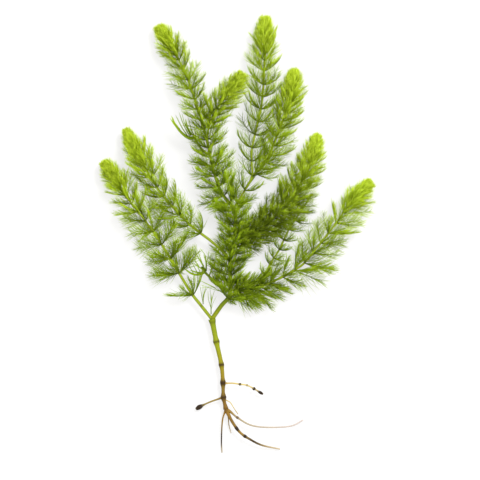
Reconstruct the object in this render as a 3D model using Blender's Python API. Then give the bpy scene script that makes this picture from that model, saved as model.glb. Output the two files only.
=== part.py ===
"""A rooted sprig of water milfoil that lies flat, with one closed solid for each of its pieces.

The sprig lies on z = 0 with its shoot tips toward +Y and its roots toward -Y. Stems are round and
tapered. Whorls of leaves are solids of the leaves' outer form: stars of five leaf tips, each whorl
a cup that opens toward the shoot's tip, joined in one sleeve where the whorls overlap each other.
"""

import math

import bmesh
import bpy
import numpy as np
from mathutils import Vector

# Driving dimensions, in metres.
SPRIG_LENGTH = 0.240
GAP = 0.0003
STEM_SIDES = 8
ROOT_SIDES = 6
STEM_STATIONS = 0.008
ROOT_STATIONS = 0.003
TIP_SPACE = 0.006

# Whorls: five leaves each, swept forward, with notches between the leaf tips.
WHORL_SIDES = 10
NOTCH = 0.70
VALLEY = 0.58
VALLEY_SWEEP = 0.2
SWEEP = 0.75
CUP_FLOOR = 0.30
TIP_REACH = 0.24
SLEEVE_GAP = 0.00045
SLEEVE_WALL = 0.0006
NEIGHBOUR_GAP = 0.0010
REACH_STEP = 0.0004
STEEPEST = 1.6
FORK_ROOM = 0.0035
LAST_WHORL = 0.0045
BLADE_HALF_THICKNESS = 0.00035

# Each trace is a line through hand-chosen places on the sprig as seen from straight above: steps
# to the right, steps down, and the height over the surface in millimetres.
TRACED_LENGTH = 436.4
TRACED_CENTRE = (236.5, 234.5)
STEP = SPRIG_LENGTH / TRACED_LENGTH
MM = 0.001
POINTS_PER_SPAN = 12

MAIN_STEM = [
    (226, 409, 3.6), (223.5, 397, 3.9), (223, 383, 4.2), (221.5, 365, 4.5), (216.5, 342, 4.6),
    (212, 319, 4.6),
]
FAR_LEFT = [
    (212, 319, 4.6), (200, 304, 4.8), (191.5, 293, 5.0), (178, 271, 5.5), (170, 257, 5.8),
    (160.5, 242.5, 6.0), (152, 230, 6.0), (144, 219, 6.0), (137, 210, 6.0), (130.5, 202, 6.0),
    (118, 183, 6.0), (103, 161, 6.2),
]
TRUNK = [
    (212, 319, 4.6), (221, 306, 5.0), (229, 296, 5.4), (230.5, 280, 6.0), (230, 262, 6.6),
    (234, 243, 7.2), (235, 225, 7.6), (233.5, 209, 8.0), (221, 192, 8.2), (213, 168, 8.4),
    (207.5, 143, 8.4), (201, 118, 8.0), (196, 103, 7.5), (191, 88, 7.0), (186.5, 77, 6.8),
    (177, 57, 6.5), (158, 26, 6.5),
]
TALLEST = [
    (233.5, 209, 8.0), (245, 190, 8.8), (252, 176, 9.2), (251.5, 162, 9.0), (252, 148, 8.6),
    (255, 135, 8.2), (258, 122, 7.8), (261, 109, 7.4), (262.5, 97, 7.0), (264, 71, 6.6),
    (265, 45, 6.4), (265, 16.5, 6.4),
]
UPPER_RIGHT = [
    (252, 176, 9.2), (257, 172, 9.0), (261, 168, 8.6), (269, 156, 7.8), (276, 138, 7.0),
    (284, 118, 6.4), (290, 97, 6.2), (294.5, 69, 6.2),
]
RAISED = [
    (207, 141, 8.4), (209, 128, 11.5), (214, 115, 13.6), (220, 105, 15.0), (228, 94, 16.2),
    (236, 84, 17.0), (243, 73, 17.4),
]
INNER_RIGHT = [
    (234, 246, 7.1), (243, 240, 8.2), (253, 233.5, 9.0), (263, 227, 9.6), (274, 217, 10.0),
    (290, 202, 10.0), (301, 182, 9.4), (310, 160, 8.6), (318, 134, 8.0),
]
FAR_RIGHT = [
    (229, 296, 5.4), (238, 292, 5.4), (249, 289, 5.4), (259, 287, 5.4), (270, 282.5, 5.6),
    (283, 276.5, 5.8), (295, 269.5, 6.0), (304.5, 262.5, 6.2), (320.5, 243, 6.4), (336, 223, 6.4),
    (351, 202, 6.2), (371, 180.5, 6.2),
]
INNER_LEFT = [
    (230, 262, 6.6), (225, 253.5, 6.8), (211, 241, 6.8), (201, 233.5, 6.6), (190.5, 225, 6.4),
    (180.5, 215, 6.2), (164, 197, 6.2), (150, 176, 6.2), (136, 151, 6.2), (125, 129, 6.4),
]
HIDDEN = [
    (259, 287, 5.4), (265, 275, 4.2), (270, 264, 3.6), (279.5, 249, 3.4), (288.5, 230, 3.4),
    (300, 212, 3.4), (316, 189, 3.6),
]
SMALL_SIDE = [
    (229.5, 291, 5.6), (221, 287, 6.4), (215, 281.5, 7.0), (205.5, 272.5, 7.6), (199, 262, 8.0),
]
SHORT_SIDE = [(211, 156, 8.4), (206, 153, 9.2), (200.5, 148, 10.0), (195, 139, 10.6)]

ROOT_RIGHT = [
    (223, 383, 4.2), (233, 383, 4.4), (240, 384, 4.6), (247, 385, 4.6), (254, 388.5, 4.2),
    (263, 394, 3.4),
]
ROOT_LEFT = [(223.5, 397, 3.9), (212, 401, 3.2), (203, 405, 2.4), (196, 409, 1.8)]
ROOT_THIN = [
    (226, 409, 3.6), (231, 412, 3.8), (237, 417, 4.2), (250, 424.5, 4.4), (266, 427, 4.0),
    (290, 426, 2.8), (303, 420, 1.2),
]
ROOT_BANDED = [
    (226, 409, 3.6), (232, 421, 4.4), (240, 432, 4.6), (250, 439, 4.0), (262, 445, 2.8),
    (280, 449, 1.0),
]
ROOT_DOWN = [(226, 409, 3.6), (222.5, 420, 2.8), (221.5, 440, 1.6), (222, 452.5, 0.8)]

# Single leaves where there is no whole whorl: at the forks and at the end of the short side shoot.
FORK_LEAF_LEFT = [(203, 302, 6.0), (203, 296, 7.0), (205, 285, 8.0)]
FORK_LEAF_MIDDLE = [(211, 312, 6.6), (210, 303, 8.2), (213, 291, 9.0)]
FORK_LEAF_PALE = [(225, 295, 9.4), (214, 288, 12.6), (204, 279, 13.4)]
SHORT_SIDE_LEAF = [(193.5, 138, 11.0), (184, 134, 11.6), (172, 119, 12.4)]
SHORT_SIDE_TUFT = [(194.5, 136.5, 11.6), (193, 127, 13.4), (189, 117, 14.4)]


def placed(place):
    """A traced place in metres, in the sprig's own frame."""
    x, y, height = place
    return Vector(((x - TRACED_CENTRE[0]) * STEP, (TRACED_CENTRE[1] - y) * STEP, height * MM))


def smooth_point(before, a, b, after, t):
    """A point on the Catmull-Rom curve from a to b."""
    linear = (b - before) * t
    square = (2 * before - 5 * a + 4 * b - after) * t ** 2
    cube = (3 * a - before - 3 * b + after) * t ** 3
    return 0.5 * (2 * a + linear + square + cube)


class Route:
    """A smooth tapered line through a trace, read by the distance along it."""

    def __init__(self, trace, radii, swellings=(), share=1.0):
        marks = [placed(place) for place in trace]
        padded = [2 * marks[0] - marks[1], *marks, 2 * marks[-1] - marks[-2]]
        points = []
        for span in zip(padded, padded[1:], padded[2:], padded[3:]):
            for i in range(POINTS_PER_SPAN):
                points.append(smooth_point(*span, i / POINTS_PER_SPAN))
        points.append(marks[-1])
        lengths = [(b - a).length for a, b in zip(points, points[1:])]
        self.points = np.array(points)
        self.distances = np.concatenate([[0.0], np.cumsum(lengths)])
        self.length = float(self.distances[-1])
        self.beyond_fork = self.points[self.distances > FORK_ROOM]
        self.radii = radii
        self.swellings = swellings
        self.share = share

    def at(self, distance):
        return Vector([np.interp(distance, self.distances, self.points[:, i]) for i in range(3)])

    def frame(self, distance):
        """The point there, and the directions along the line, to its side and upward."""
        ahead = self.at(min(distance + MM, self.length))
        along = (ahead - self.at(max(distance - MM, 0.0))).normalized()
        side = along.cross(Vector((0, 0, 1))).normalized()
        return self.at(distance), along, side, side.cross(along)

    def radius(self, distance):
        start, end = self.radii
        radius = start + (end - start) * distance / self.length
        for place, extra, half_length in self.swellings:
            radius += extra * math.exp(-(((distance - place) / half_length) ** 2))
        return radius

    def clearance(self, point):
        """The distance from a point to the line."""
        return distance_to(self.points, point)

    def gap(self, point):
        """The distance from a point to the surface of the stem along the line."""
        nearest = np.argmin(((self.points - np.array(point)) ** 2).sum(axis=1))
        return self.clearance(point) - self.radius(self.distances[nearest])


def distance_to(points, point):
    return float(np.sqrt(((points - np.array(point)) ** 2).sum(axis=1).min()))


def stations(start, end, spacing):
    """Distances from start to end. Those between are the line's own, so that a stem and a sleeve
    round it bend at the same places."""
    whole = range(math.floor(start / spacing) + 1, math.ceil(end / spacing))
    between = [i * spacing for i in whole]
    margin = 0.25 * spacing
    return [start, *[s for s in between if start + margin < s < end - margin], end]


def ring_point(frame, angle, radius, sweep):
    """A point round the line, swept forward as it stands off it, no lower than the surface."""
    centre, along, side, up = frame
    outward = math.cos(angle) * side + math.sin(angle) * up
    point = centre + radius * (outward + sweep * along)
    point.z = max(point.z, 0.0)
    return point


def ring_angles(count):
    return [math.tau * (i + 0.5) / count for i in range(count)]


def ring(route, distance, radii, sweep=0.0):
    frame = route.frame(distance)
    angles = ring_angles(len(radii))
    return [ring_point(frame, angle, radius, sweep) for angle, radius in zip(angles, radii)]


def round_ring(route, distance, radius, sides):
    return ring(route, distance, [radius] * sides)


def solid(name, rings, look, open_centre=False):
    """A closed solid through rings of points. With an open centre the last ring meets the first."""
    built = bmesh.new()
    loops = [[built.verts.new(point) for point in points] for points in rings]
    pairs = list(zip(loops, loops[1:]))
    if open_centre:
        pairs.append((loops[-1], loops[0]))
    else:
        built.faces.new(loops[0])
        built.faces.new(loops[-1])
    for a, b in pairs:
        for i in range(len(a)):
            j = (i + 1) % len(a)
            built.faces.new((a[i], a[j], b[j], b[i]))
    bmesh.ops.recalc_face_normals(built, faces=built.faces)
    mesh = bpy.data.meshes.new(name)
    built.to_mesh(mesh)
    built.free()
    mesh.shade_smooth()
    mesh.set_sharp_from_angle(angle=math.radians(40))
    mesh.materials.append(look)
    bpy.context.collection.objects.link(bpy.data.objects.new(name, mesh))


def make_look(name, colour, roughness):
    look = bpy.data.materials.new(name)
    look.use_nodes = True
    shader = look.node_tree.nodes["Principled BSDF"]
    shader.inputs["Base Color"].default_value = (*colour, 1.0)
    shader.inputs["Roughness"].default_value = roughness
    shader.inputs["Metallic"].default_value = 0.0
    return look


def stem(name, route, look, start=0.0, end=None, sides=STEM_SIDES, spacing=STEM_STATIONS):
    """A tapered round stem or root along a stretch of its line."""
    end = route.length if end is None else end
    rings = []
    for distance in stations(start, end, spacing):
        rings.append(round_ring(route, distance, route.radius(distance), sides))
    solid(name, rings, look)


def free_start(route, *others):
    """How far along its line a stem is clear of the stems that it grows from and beside."""
    distance = 0.0
    while True:
        end_face = round_ring(route, distance, route.radius(distance), STEM_SIDES)
        if min(other.gap(point) for other in others for point in end_face) > GAP:
            return distance
        distance += 0.5 * GAP


class Shoot:
    """The leaves of one stem: where its whorls stand and how far they reach."""

    def __init__(self, route, reach, spacing, crowding, taper=0.013):
        self.route = route
        self.base_reach, self.top_reach = reach
        self.spacing = spacing
        self.crowding = crowding
        self.taper = taper
        self.neighbours = [other for other in ALL_STEMS if other is not route]

    def reach(self, distance):
        """How far leaf tips stand off the stem: less and less toward the shoot's tip."""
        share = distance / self.route.length
        full = self.base_reach + (self.top_reach - self.base_reach) * share
        left = self.route.length - distance
        return full * (1 - (1 - TIP_REACH) * math.exp(-left / self.taper))

    def whorls(self, first, last):
        """Where whorls stand: closer and closer together toward the shoot's tip."""
        places = [first]
        while True:
            left = self.route.length - places[-1]
            gap = self.spacing * (1 - math.exp(-(left + 2 * MM) / self.crowding))
            if places[-1] + gap > last:
                return places
            places.append(places[-1] + gap)

    def crowded(self, point):
        """Whether a point is nearer to another stem than to this one, in measure of the room
        that the leaves of each take."""
        own = self.route.clearance(point) / self.route.share
        beside = ((other, distance_to(other.beyond_fork, point)) for other in self.neighbours)
        return any(far / other.share < own + NEIGHBOUR_GAP for other, far in beside)

    def tier(self, distance, wanted, sweep):
        """A ring of leaf tips, each kept in its own stem's room."""
        frame = self.route.frame(distance)
        angles = ring_angles(len(wanted))
        radii = []
        for angle, full in zip(angles, wanted):
            radius = self.route.radius(distance) + SLEEVE_GAP + SLEEVE_WALL
            while radius + REACH_STEP < full:
                if self.crowded(ring_point(frame, angle, radius + REACH_STEP, sweep)):
                    break
                radius += REACH_STEP
            radii.append(radius)
        beside = zip(radii[-1:] + radii[:-1], radii, radii[1:] + radii[:1])
        even = [min(radius, STEEPEST * min(before, after)) for before, radius, after in beside]
        return [ring_point(frame, angle, radius, sweep) for angle, radius in zip(angles, even)]


def bore(route, start, end):
    """Rings just clear of the stem, from start to end."""
    rings = []
    for distance in stations(start, end, STEM_STATIONS):
        rings.append(round_ring(route, distance, route.radius(distance) + SLEEVE_GAP, WHORL_SIDES))
    return rings


def collar(route, distance):
    """The thin edge of a sleeve against its stem."""
    radius = route.radius(distance) + SLEEVE_GAP + SLEEVE_WALL
    return round_ring(route, distance, radius, WHORL_SIDES)


def tiers(shoot, places):
    """Rings over whorls: a star of leaf tips for each, with a round valley before the next."""
    rings = []
    for number, place in enumerate(places):
        reach = shoot.reach(place)
        if number:
            valley = [VALLEY * reach] * WHORL_SIDES
            rings.append(shoot.tier(place, valley, VALLEY_SWEEP))
        star = [reach if (i + number) % 2 else NOTCH * reach for i in range(WHORL_SIDES)]
        rings.append(shoot.tier(place, star, SWEEP))
    return rings


def open_leaves(name, shoot, places, look):
    """Whorls round a stretch of stem that goes on beyond them: a cup, or a sleeve of cups."""
    route = shoot.route
    start = places[0] - MM
    end = places[-1] + CUP_FLOOR * SWEEP * shoot.reach(places[-1])
    rings = [collar(route, start), *tiers(shoot, places), collar(route, end)]
    rings += reversed(bore(route, start, end))
    solid(name, rings, look, open_centre=True)


def tip_leaves(name, shoot, first, look):
    """Whorls from the first to the shoot's tip, closed over the end of the stem."""
    route = shoot.route
    places = shoot.whorls(first, route.length - LAST_WHORL)
    start = first - MM
    rings = [collar(route, start), *tiers(shoot, places)]
    tip = shoot.reach(route.length)
    rings.append(round_ring(route, route.length - MM, 0.7 * tip, WHORL_SIDES))
    rings.append(round_ring(route, route.length, 0.3 * tip, WHORL_SIDES))
    rings.reverse()
    rings += bore(route, start, route.length - TIP_SPACE + GAP)
    solid(name, rings, look)


def blade(name, trace, half_width, look):
    """A single leaf's outer form: a thin pointed blade, widest before its middle."""
    route = Route(trace, (0.0, 0.0))
    rings = []
    for share in (0.0, 0.2, 0.45, 0.75, 1.0):
        centre, along, side, up = route.frame(share * route.length)
        width = half_width * (0.12 + 0.88 * math.sin(math.pi * share ** 0.8) ** 0.8)
        edge = [(-1, 0), (-0.5, 1), (0.5, 1), (1, 0), (0.5, -1), (-0.5, -1)]
        lift = BLADE_HALF_THICKNESS * up
        rings.append([centre + x * width * side + z * lift for x, z in edge])
    solid(name, rings, look)


for old in list(bpy.data.objects):
    bpy.data.objects.remove(old)

stem_look = make_look("stem_green", (0.36, 0.42, 0.06), 0.45)
base_look = make_look("stem_olive", (0.30, 0.25, 0.05), 0.5)
leaf_look = make_look("leaf_green", (0.17, 0.36, 0.04), 0.5)
tip_look = make_look("leaf_light_green", (0.33, 0.55, 0.06), 0.5)
root_look = make_look("root_amber", (0.35, 0.20, 0.06), 0.5)

main_stem = Route(MAIN_STEM, (0.0008, 0.0015), [
    (0.0, 0.0006, 0.0025), (0.0067, 0.0007, 0.0018), (0.0147, 0.0006, 0.0018),
    (0.0247, 0.0004, 0.0015), (0.0376, 0.0005, 0.0015), (0.0500, 0.0005, 0.0020),
])
trunk = Route(TRUNK, (0.0012, 0.0007))
far_left = Route(FAR_LEFT, (0.0011, 0.0006))
tallest = Route(TALLEST, (0.0010, 0.0006))
upper_right = Route(UPPER_RIGHT, (0.0009, 0.0006))
raised = Route(RAISED, (0.0009, 0.0006))
inner_right = Route(INNER_RIGHT, (0.0010, 0.0006))
far_right = Route(FAR_RIGHT, (0.0011, 0.0006))
inner_left = Route(INNER_LEFT, (0.0009, 0.0006))
hidden = Route(HIDDEN, (0.0008, 0.0005), share=0.8)
small_side = Route(SMALL_SIDE, (0.0007, 0.0005), share=0.5)
short_side = Route(SHORT_SIDE, (0.0007, 0.0005), share=0.4)
ALL_STEMS = [
    trunk, far_left, tallest, upper_right, raised, inner_right, far_right, inner_left, hidden,
    small_side, short_side,
]

# Stems. The trunk is in three pieces, parted at the far right shoot's fork and the tallest's.
RIGHT_FORK = 0.0146
TOP_FORK = 0.0629
stem("main_stem", main_stem, base_look, spacing=ROOT_STATIONS)
stem("trunk_low", trunk, stem_look, free_start(trunk, main_stem), RIGHT_FORK)
stem("trunk_high", trunk, stem_look, RIGHT_FORK + GAP, TOP_FORK)
stem("upper_left_stem", trunk, stem_look, TOP_FORK + GAP, trunk.length - TIP_SPACE)
far_left_start = free_start(far_left, main_stem, trunk)
stem("far_left_stem", far_left, stem_look, far_left_start, far_left.length - TIP_SPACE)
for name, route, parent in (
    ("tallest_stem", tallest, trunk),
    ("upper_right_stem", upper_right, tallest),
    ("raised_stem", raised, trunk),
    ("inner_right_stem", inner_right, trunk),
    ("far_right_stem", far_right, trunk),
    ("inner_left_stem", inner_left, trunk),
    ("hidden_stem", hidden, far_right),
    ("small_side_stem", small_side, trunk),
):
    stem(name, route, stem_look, free_start(route, parent), route.length - TIP_SPACE)
stem("short_side_stem", short_side, stem_look, free_start(short_side, trunk))

# Roots. Beads are the swellings of young roots, and the dark ends are a little thicker.
root_right = Route(ROOT_RIGHT, (0.0008, 0.0005), [
    (0.0077, 0.0006, 0.0010), (0.0116, 0.0005, 0.0010), (0.0155, 0.0006, 0.0010),
])
root_left = Route(ROOT_LEFT, (0.0007, 0.0004), [(0.0128, 0.0007, 0.0030)])
root_thin = Route(ROOT_THIN, (0.0006, 0.0003))
root_banded = Route(ROOT_BANDED, (0.0009, 0.0005))
root_down = Route(ROOT_DOWN, (0.0007, 0.0004))
for name, route, beside in (
    ("root_right", root_right, [main_stem]),
    ("root_left", root_left, [main_stem]),
    ("root_banded", root_banded, [main_stem]),
    ("root_thin", root_thin, [main_stem, root_banded]),
    ("root_down", root_down, [main_stem, root_banded]),
):
    start = free_start(route, *beside)
    stem(name, route, root_look, start, sides=ROOT_SIDES, spacing=ROOT_STATIONS)

# Leaves. The distances are along each stem's own line.
far_left_shoot = Shoot(far_left, (0.0175, 0.0125), 0.0125, 0.045)
for number, place in enumerate((0.0170, 0.0312, 0.0403), start=1):
    name = f"far_left_whorl_{number}"
    open_leaves(name, far_left_shoot, [place], leaf_look)
tip_leaves("far_left_leaves", far_left_shoot, 0.0496, tip_look)

inner_left_shoot = Shoot(inner_left, (0.0120, 0.0110), 0.0082, 0.020)
tip_leaves("inner_left_leaves", inner_left_shoot, 0.0229, tip_look)

trunk_shoot = Shoot(trunk, (0.0130, 0.0110), 0.0090, 0.022)
for name, places in (
    ("trunk_leaves_low", [0.0222, 0.0275]),
    ("trunk_leaves_high", [0.0480, 0.0530, 0.0575]),
    ("upper_left_leaves_low", [0.0715, 0.0790, 0.0860]),
    ("upper_left_whorl", [0.1010]),
):
    open_leaves(name, trunk_shoot, places, leaf_look)
upper_left_shoot = Shoot(trunk, (0.0115, 0.0095), 0.0062, 0.022)
tip_leaves("upper_left_leaves", upper_left_shoot, 0.1130, tip_look)

tallest_shoot = Shoot(tallest, (0.0120, 0.0115), 0.0086, 0.030)
open_leaves("tallest_leaves_low", tallest_shoot, [0.0085, 0.0150], leaf_look)
tip_leaves("tallest_leaves", tallest_shoot, 0.0290, tip_look)

upper_right_shoot = Shoot(upper_right, (0.0090, 0.0095), 0.0066, 0.020, taper=0.017)
tip_leaves("upper_right_leaves", upper_right_shoot, 0.0066, tip_look)

raised_shoot = Shoot(raised, (0.0105, 0.0125), 0.0055, 0.020, taper=0.007)
tip_leaves("raised_leaves", raised_shoot, 0.0090, tip_look)

inner_right_shoot = Shoot(inner_right, (0.0125, 0.0125), 0.0075, 0.025)
tip_leaves("inner_right_leaves", inner_right_shoot, 0.0080, tip_look)

far_right_shoot = Shoot(far_right, (0.0130, 0.0130), 0.0078, 0.022)
open_leaves("far_right_whorl", far_right_shoot, [0.0100], leaf_look)
tip_leaves("far_right_leaves", far_right_shoot, 0.0238, tip_look)

hidden_shoot = Shoot(hidden, (0.0080, 0.0085), 0.0072, 0.018)
tip_leaves("hidden_leaves", hidden_shoot, 0.0140, leaf_look)

small_side_shoot = Shoot(small_side, (0.0050, 0.0050), 0.0060, 0.010, taper=0.006)
open_leaves("small_side_whorl", small_side_shoot, [0.0083], leaf_look)
tip_leaves("small_side_leaves", small_side_shoot, 0.0150, tip_look)

for name, trace, half_width in (
    ("fork_leaf_left", FORK_LEAF_LEFT, 0.0025),
    ("fork_leaf_middle", FORK_LEAF_MIDDLE, 0.0030),
    ("fork_leaf_pale", FORK_LEAF_PALE, 0.0025),
    ("short_side_leaf", SHORT_SIDE_LEAF, 0.0030),
    ("short_side_tuft", SHORT_SIDE_TUFT, 0.0035),
):
    blade(name, trace, half_width, tip_look)
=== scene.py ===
"""The looks of a rooted sprig of water milfoil that lies flat on a pale surface, in metres."""

import math
from collections import namedtuple

import bpy
import numpy as np
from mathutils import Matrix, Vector


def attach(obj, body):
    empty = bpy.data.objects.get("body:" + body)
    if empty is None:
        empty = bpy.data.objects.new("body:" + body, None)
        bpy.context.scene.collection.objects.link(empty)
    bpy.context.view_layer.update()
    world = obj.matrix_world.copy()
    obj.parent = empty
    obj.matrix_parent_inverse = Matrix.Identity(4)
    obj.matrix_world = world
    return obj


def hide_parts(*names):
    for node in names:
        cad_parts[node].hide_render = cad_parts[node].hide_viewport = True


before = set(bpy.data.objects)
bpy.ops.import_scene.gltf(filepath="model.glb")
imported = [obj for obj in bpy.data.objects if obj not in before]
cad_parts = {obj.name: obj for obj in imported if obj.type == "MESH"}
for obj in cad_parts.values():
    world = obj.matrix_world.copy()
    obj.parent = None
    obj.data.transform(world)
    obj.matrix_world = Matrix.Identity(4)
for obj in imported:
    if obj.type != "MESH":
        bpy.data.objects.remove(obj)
bpy.ops.object.select_all(action="DESELECT")
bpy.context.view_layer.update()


# The surface is a frosted white light table, lit by a wide soft light from the upper right
# and by an even, slightly warm white room. The camera looks straight down on the sprig, whose
# length in the picture tells how far one pixel goes.
SPRIG_LENGTH = 0.240
SPRIG_PIXELS = 436.4
STEP = SPRIG_LENGTH / SPRIG_PIXELS
CENTRE = (236.5, 234.5)
PICTURE = 480
CAMERA_HEIGHT = 2.4
SENSOR = 36.0
BOARD_WIDTH = 4.0
WINDOW_PLACE = (0.42, 0.56, 0.95)
WINDOW_WIDTH = 0.40
WINDOW_WATTS = 14.0

bpy.ops.mesh.primitive_plane_add(size=BOARD_WIDTH, location=(0, 0, 0))
board = bpy.context.object
board.name = "board"
board_look = bpy.data.materials.new("board_white")
board_look.use_nodes = True
board_shader = board_look.node_tree.nodes["Principled BSDF"]
board_shader.inputs["Base Color"].default_value = (0.22, 0.22, 0.22, 1)
board_shader.inputs["Emission Color"].default_value = (1.0, 1.0, 1.0, 1)
board_shader.inputs["Emission Strength"].default_value = 0.66
board_shader.inputs["Roughness"].default_value = 0.9
board_shader.inputs["Specular IOR Level"].default_value = 0.1
board.data.materials.append(board_look)

room = bpy.data.worlds.new("white_room")
bpy.context.scene.world = room
room.use_nodes = True
room.node_tree.nodes["Background"].inputs["Color"].default_value = (1.0, 0.975, 0.95, 1)
room.node_tree.nodes["Background"].inputs["Strength"].default_value = 1.45

bpy.ops.object.light_add(type="AREA", location=WINDOW_PLACE)
window = bpy.context.object
window.name = "window"
window.data.shape = "SQUARE"
window.data.size = WINDOW_WIDTH
window.data.energy = WINDOW_WATTS
window.rotation_mode = "QUATERNION"
window.rotation_quaternion = (-Vector(WINDOW_PLACE)).to_track_quat("-Z", "Y")

picture_middle = ((PICTURE / 2 - CENTRE[0]) * STEP, (CENTRE[1] - PICTURE / 2) * STEP)
bpy.ops.object.camera_add(location=(*picture_middle, CAMERA_HEIGHT), rotation=(0, 0, 0))
camera = bpy.context.object
camera.name = "camera"
camera.data.sensor_width = SENSOR
camera.data.lens = SENSOR * CAMERA_HEIGHT / (PICTURE * STEP)
camera.data.clip_end = 100.0
bpy.context.scene.camera = camera
bpy.context.scene.view_settings.view_transform = "Standard"


# The main stem is a round, fleshy stalk with a ring at each node. It is yellow-green where the
# shoots fork and turns olive and then amber-brown toward the roots, darker in the rings.
MM = 0.001
CURVE_STEPS = 12
STALK_SPACING = 0.0006
FEWEST_RINGS = 4
SAME_PLACE = 1e-6


class Route:
    """A smooth tapered line through places seen from straight above, read by the distance. A
    place is its pixel in the picture and its height in millimetres, and a swelling is its
    distance, how much it adds to the radius and its half length."""

    def __init__(self, trace, radii, swellings=()):
        marks = [np.array([(x - CENTRE[0]) * STEP, (CENTRE[1] - y) * STEP, height * MM])
                 for x, y, height in trace]
        padded = [2 * marks[0] - marks[1], *marks, 2 * marks[-1] - marks[-2]]
        points = []
        for before, a, b, after in zip(padded, padded[1:], padded[2:], padded[3:]):
            for t in np.arange(CURVE_STEPS) / CURVE_STEPS:
                linear = (b - before) * t
                square = (2 * before - 5 * a + 4 * b - after) * t ** 2
                cube = (3 * a - before - 3 * b + after) * t ** 3
                points.append(0.5 * (2 * a + linear + square + cube))
        self.points = np.array([*points, marks[-1]])
        steps = np.linalg.norm(np.diff(self.points, axis=0), axis=1)
        self.distances = np.concatenate([[0.0], np.cumsum(steps)])
        self.length = float(self.distances[-1])
        self.radii = radii
        self.swellings = swellings

    def at(self, distance):
        return np.array([np.interp(distance, self.distances, self.points[:, i])
                         for i in range(3)])

    def along(self, distance):
        ahead = self.at(min(distance + MM, self.length)) - self.at(max(distance - MM, 0))
        return ahead / np.linalg.norm(ahead)

    def radius(self, distance):
        start, end = self.radii
        radius = start + (end - start) * distance / self.length
        for place, extra, half_length in self.swellings:
            radius += extra * math.exp(-(((distance - place) / half_length) ** 2))
        return radius


def unit(vectors):
    return vectors / np.linalg.norm(vectors, axis=-1, keepdims=True)


class Nodes:
    """Builds a material from its shader outward."""

    def __init__(self, name):
        self.look = bpy.data.materials.new(name)
        self.look.use_nodes = True
        self.tree = self.look.node_tree
        self.shader = self.tree.nodes["Principled BSDF"]

    def add(self, kind, settings=None, **inputs):
        """Any node, by its type, its settings and the values or links of its sockets."""
        node = self.tree.nodes.new(kind)
        for key, value in (settings or {}).items():
            if key == "stops":
                ramp = node.color_ramp
                while len(ramp.elements) < len(value):
                    ramp.elements.new(0.5)
                for stop, (place, colour) in zip(ramp.elements, value):
                    stop.position, stop.color = place, (*colour, 1.0)
            else:
                setattr(node, key, value)
        for key, value in inputs.items():
            self.feed(node.inputs[key.replace("_", " ")], value)
        return node

    def feed(self, socket, value):
        if isinstance(value, Value):
            self.tree.links.new(value.socket, socket)
        elif isinstance(value, bpy.types.NodeSocket):
            self.tree.links.new(value, socket)
        else:
            socket.default_value = value

    def set(self, **inputs):
        for key, value in inputs.items():
            self.feed(self.shader.inputs[key.replace("_", " ")], value)


class Value:
    """A number that changes over a surface, for sums written as Python expressions."""

    def __init__(self, nodes, socket):
        self.nodes, self.socket = nodes, socket

    def math(self, operation, *others, clamp=False):
        node = self.nodes.tree.nodes.new("ShaderNodeMath")
        node.operation, node.use_clamp = operation, clamp
        for socket, value in zip(node.inputs, (self, *others)):
            self.nodes.feed(socket, value)
        return Value(self.nodes, node.outputs[0])

    def __add__(self, other):
        return self.math("ADD", other)

    __radd__ = __add__

    def __mul__(self, other):
        return self.math("MULTIPLY", other)

    __rmul__ = __mul__

    def __sub__(self, other):
        return self.math("SUBTRACT", other)

    def __rsub__(self, other):
        return self * -1.0 + other

    def clamped(self):
        return self.math("ADD", 0.0, clamp=True)


def mixed(nodes, factor, a, b):
    """One colour turning into another as the factor goes from 0 to 1."""
    node = nodes.add("ShaderNodeMix", {"data_type": "RGBA"})
    nodes.feed(node.inputs[0], factor)
    for socket, value in ((node.inputs[6], a), (node.inputs[7], b)):
        nodes.feed(socket, (*value, 1.0) if isinstance(value, tuple) else value)
    return node.outputs[2]


def growth(nodes):
    """The three numbers kept at each point of a piece."""
    kept = nodes.add("ShaderNodeAttribute", {"attribute_name": "growth"})
    parts = nodes.add("ShaderNodeSeparateXYZ", Vector=kept.outputs["Vector"])
    return [Value(nodes, socket) for socket in parts.outputs]


def speckle(nodes, scale):
    """Soft noise from 0 to 1 that is fixed to the piece."""
    place = nodes.add("ShaderNodeTexCoord")
    noise = nodes.add("ShaderNodeTexNoise", Vector=place.outputs["Object"], Scale=scale,
                      Detail=2.0)
    return Value(nodes, noise.outputs["Fac"])


def stalk_look(name, stops, ring_colour, roughness=0.42):
    """A fleshy stalk: its colour goes by the stops along it, with darker rings at the nodes."""
    nodes = Nodes(name)
    along, ring = growth(nodes)[:2]
    patches = speckle(nodes, 900.0)
    streaks = speckle(nodes, 2600.0)
    ramp = nodes.add("ShaderNodeValToRGB", {"stops": stops},
                     Fac=(along + (patches - 0.5) * 0.10).clamped())
    ringed = mixed(nodes, (ring * (0.6 + patches * 0.6)).clamped(), ramp.outputs["Color"],
                   ring_colour)
    darker = nodes.add("ShaderNodeHueSaturation", Color=ringed, Value=0.80 + 0.35 * streaks)
    bump = nodes.add("ShaderNodeBump", Height=streaks, Strength=0.25, Distance=0.0002)
    nodes.set(Base_Color=darker.outputs["Color"], Roughness=roughness + 0.2 * patches,
              Normal=bump.outputs["Normal"])
    nodes.set(Specular_IOR_Level=0.12)
    return nodes.look


def keep_growth(mesh, numbers):
    """Keeps three numbers at each point: on a stalk how far along it stands, how dark its ring
    is and zero, and on a leaf how young it is, how far out on the leaf and how light, which is
    its own tone and, in the dense lower parts of the shoots, painted shade."""
    kept = mesh.attributes.new("growth", "FLOAT_VECTOR", "POINT")
    kept.data.foreach_set("vector", np.asarray(numbers, np.float32).ravel())


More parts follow.
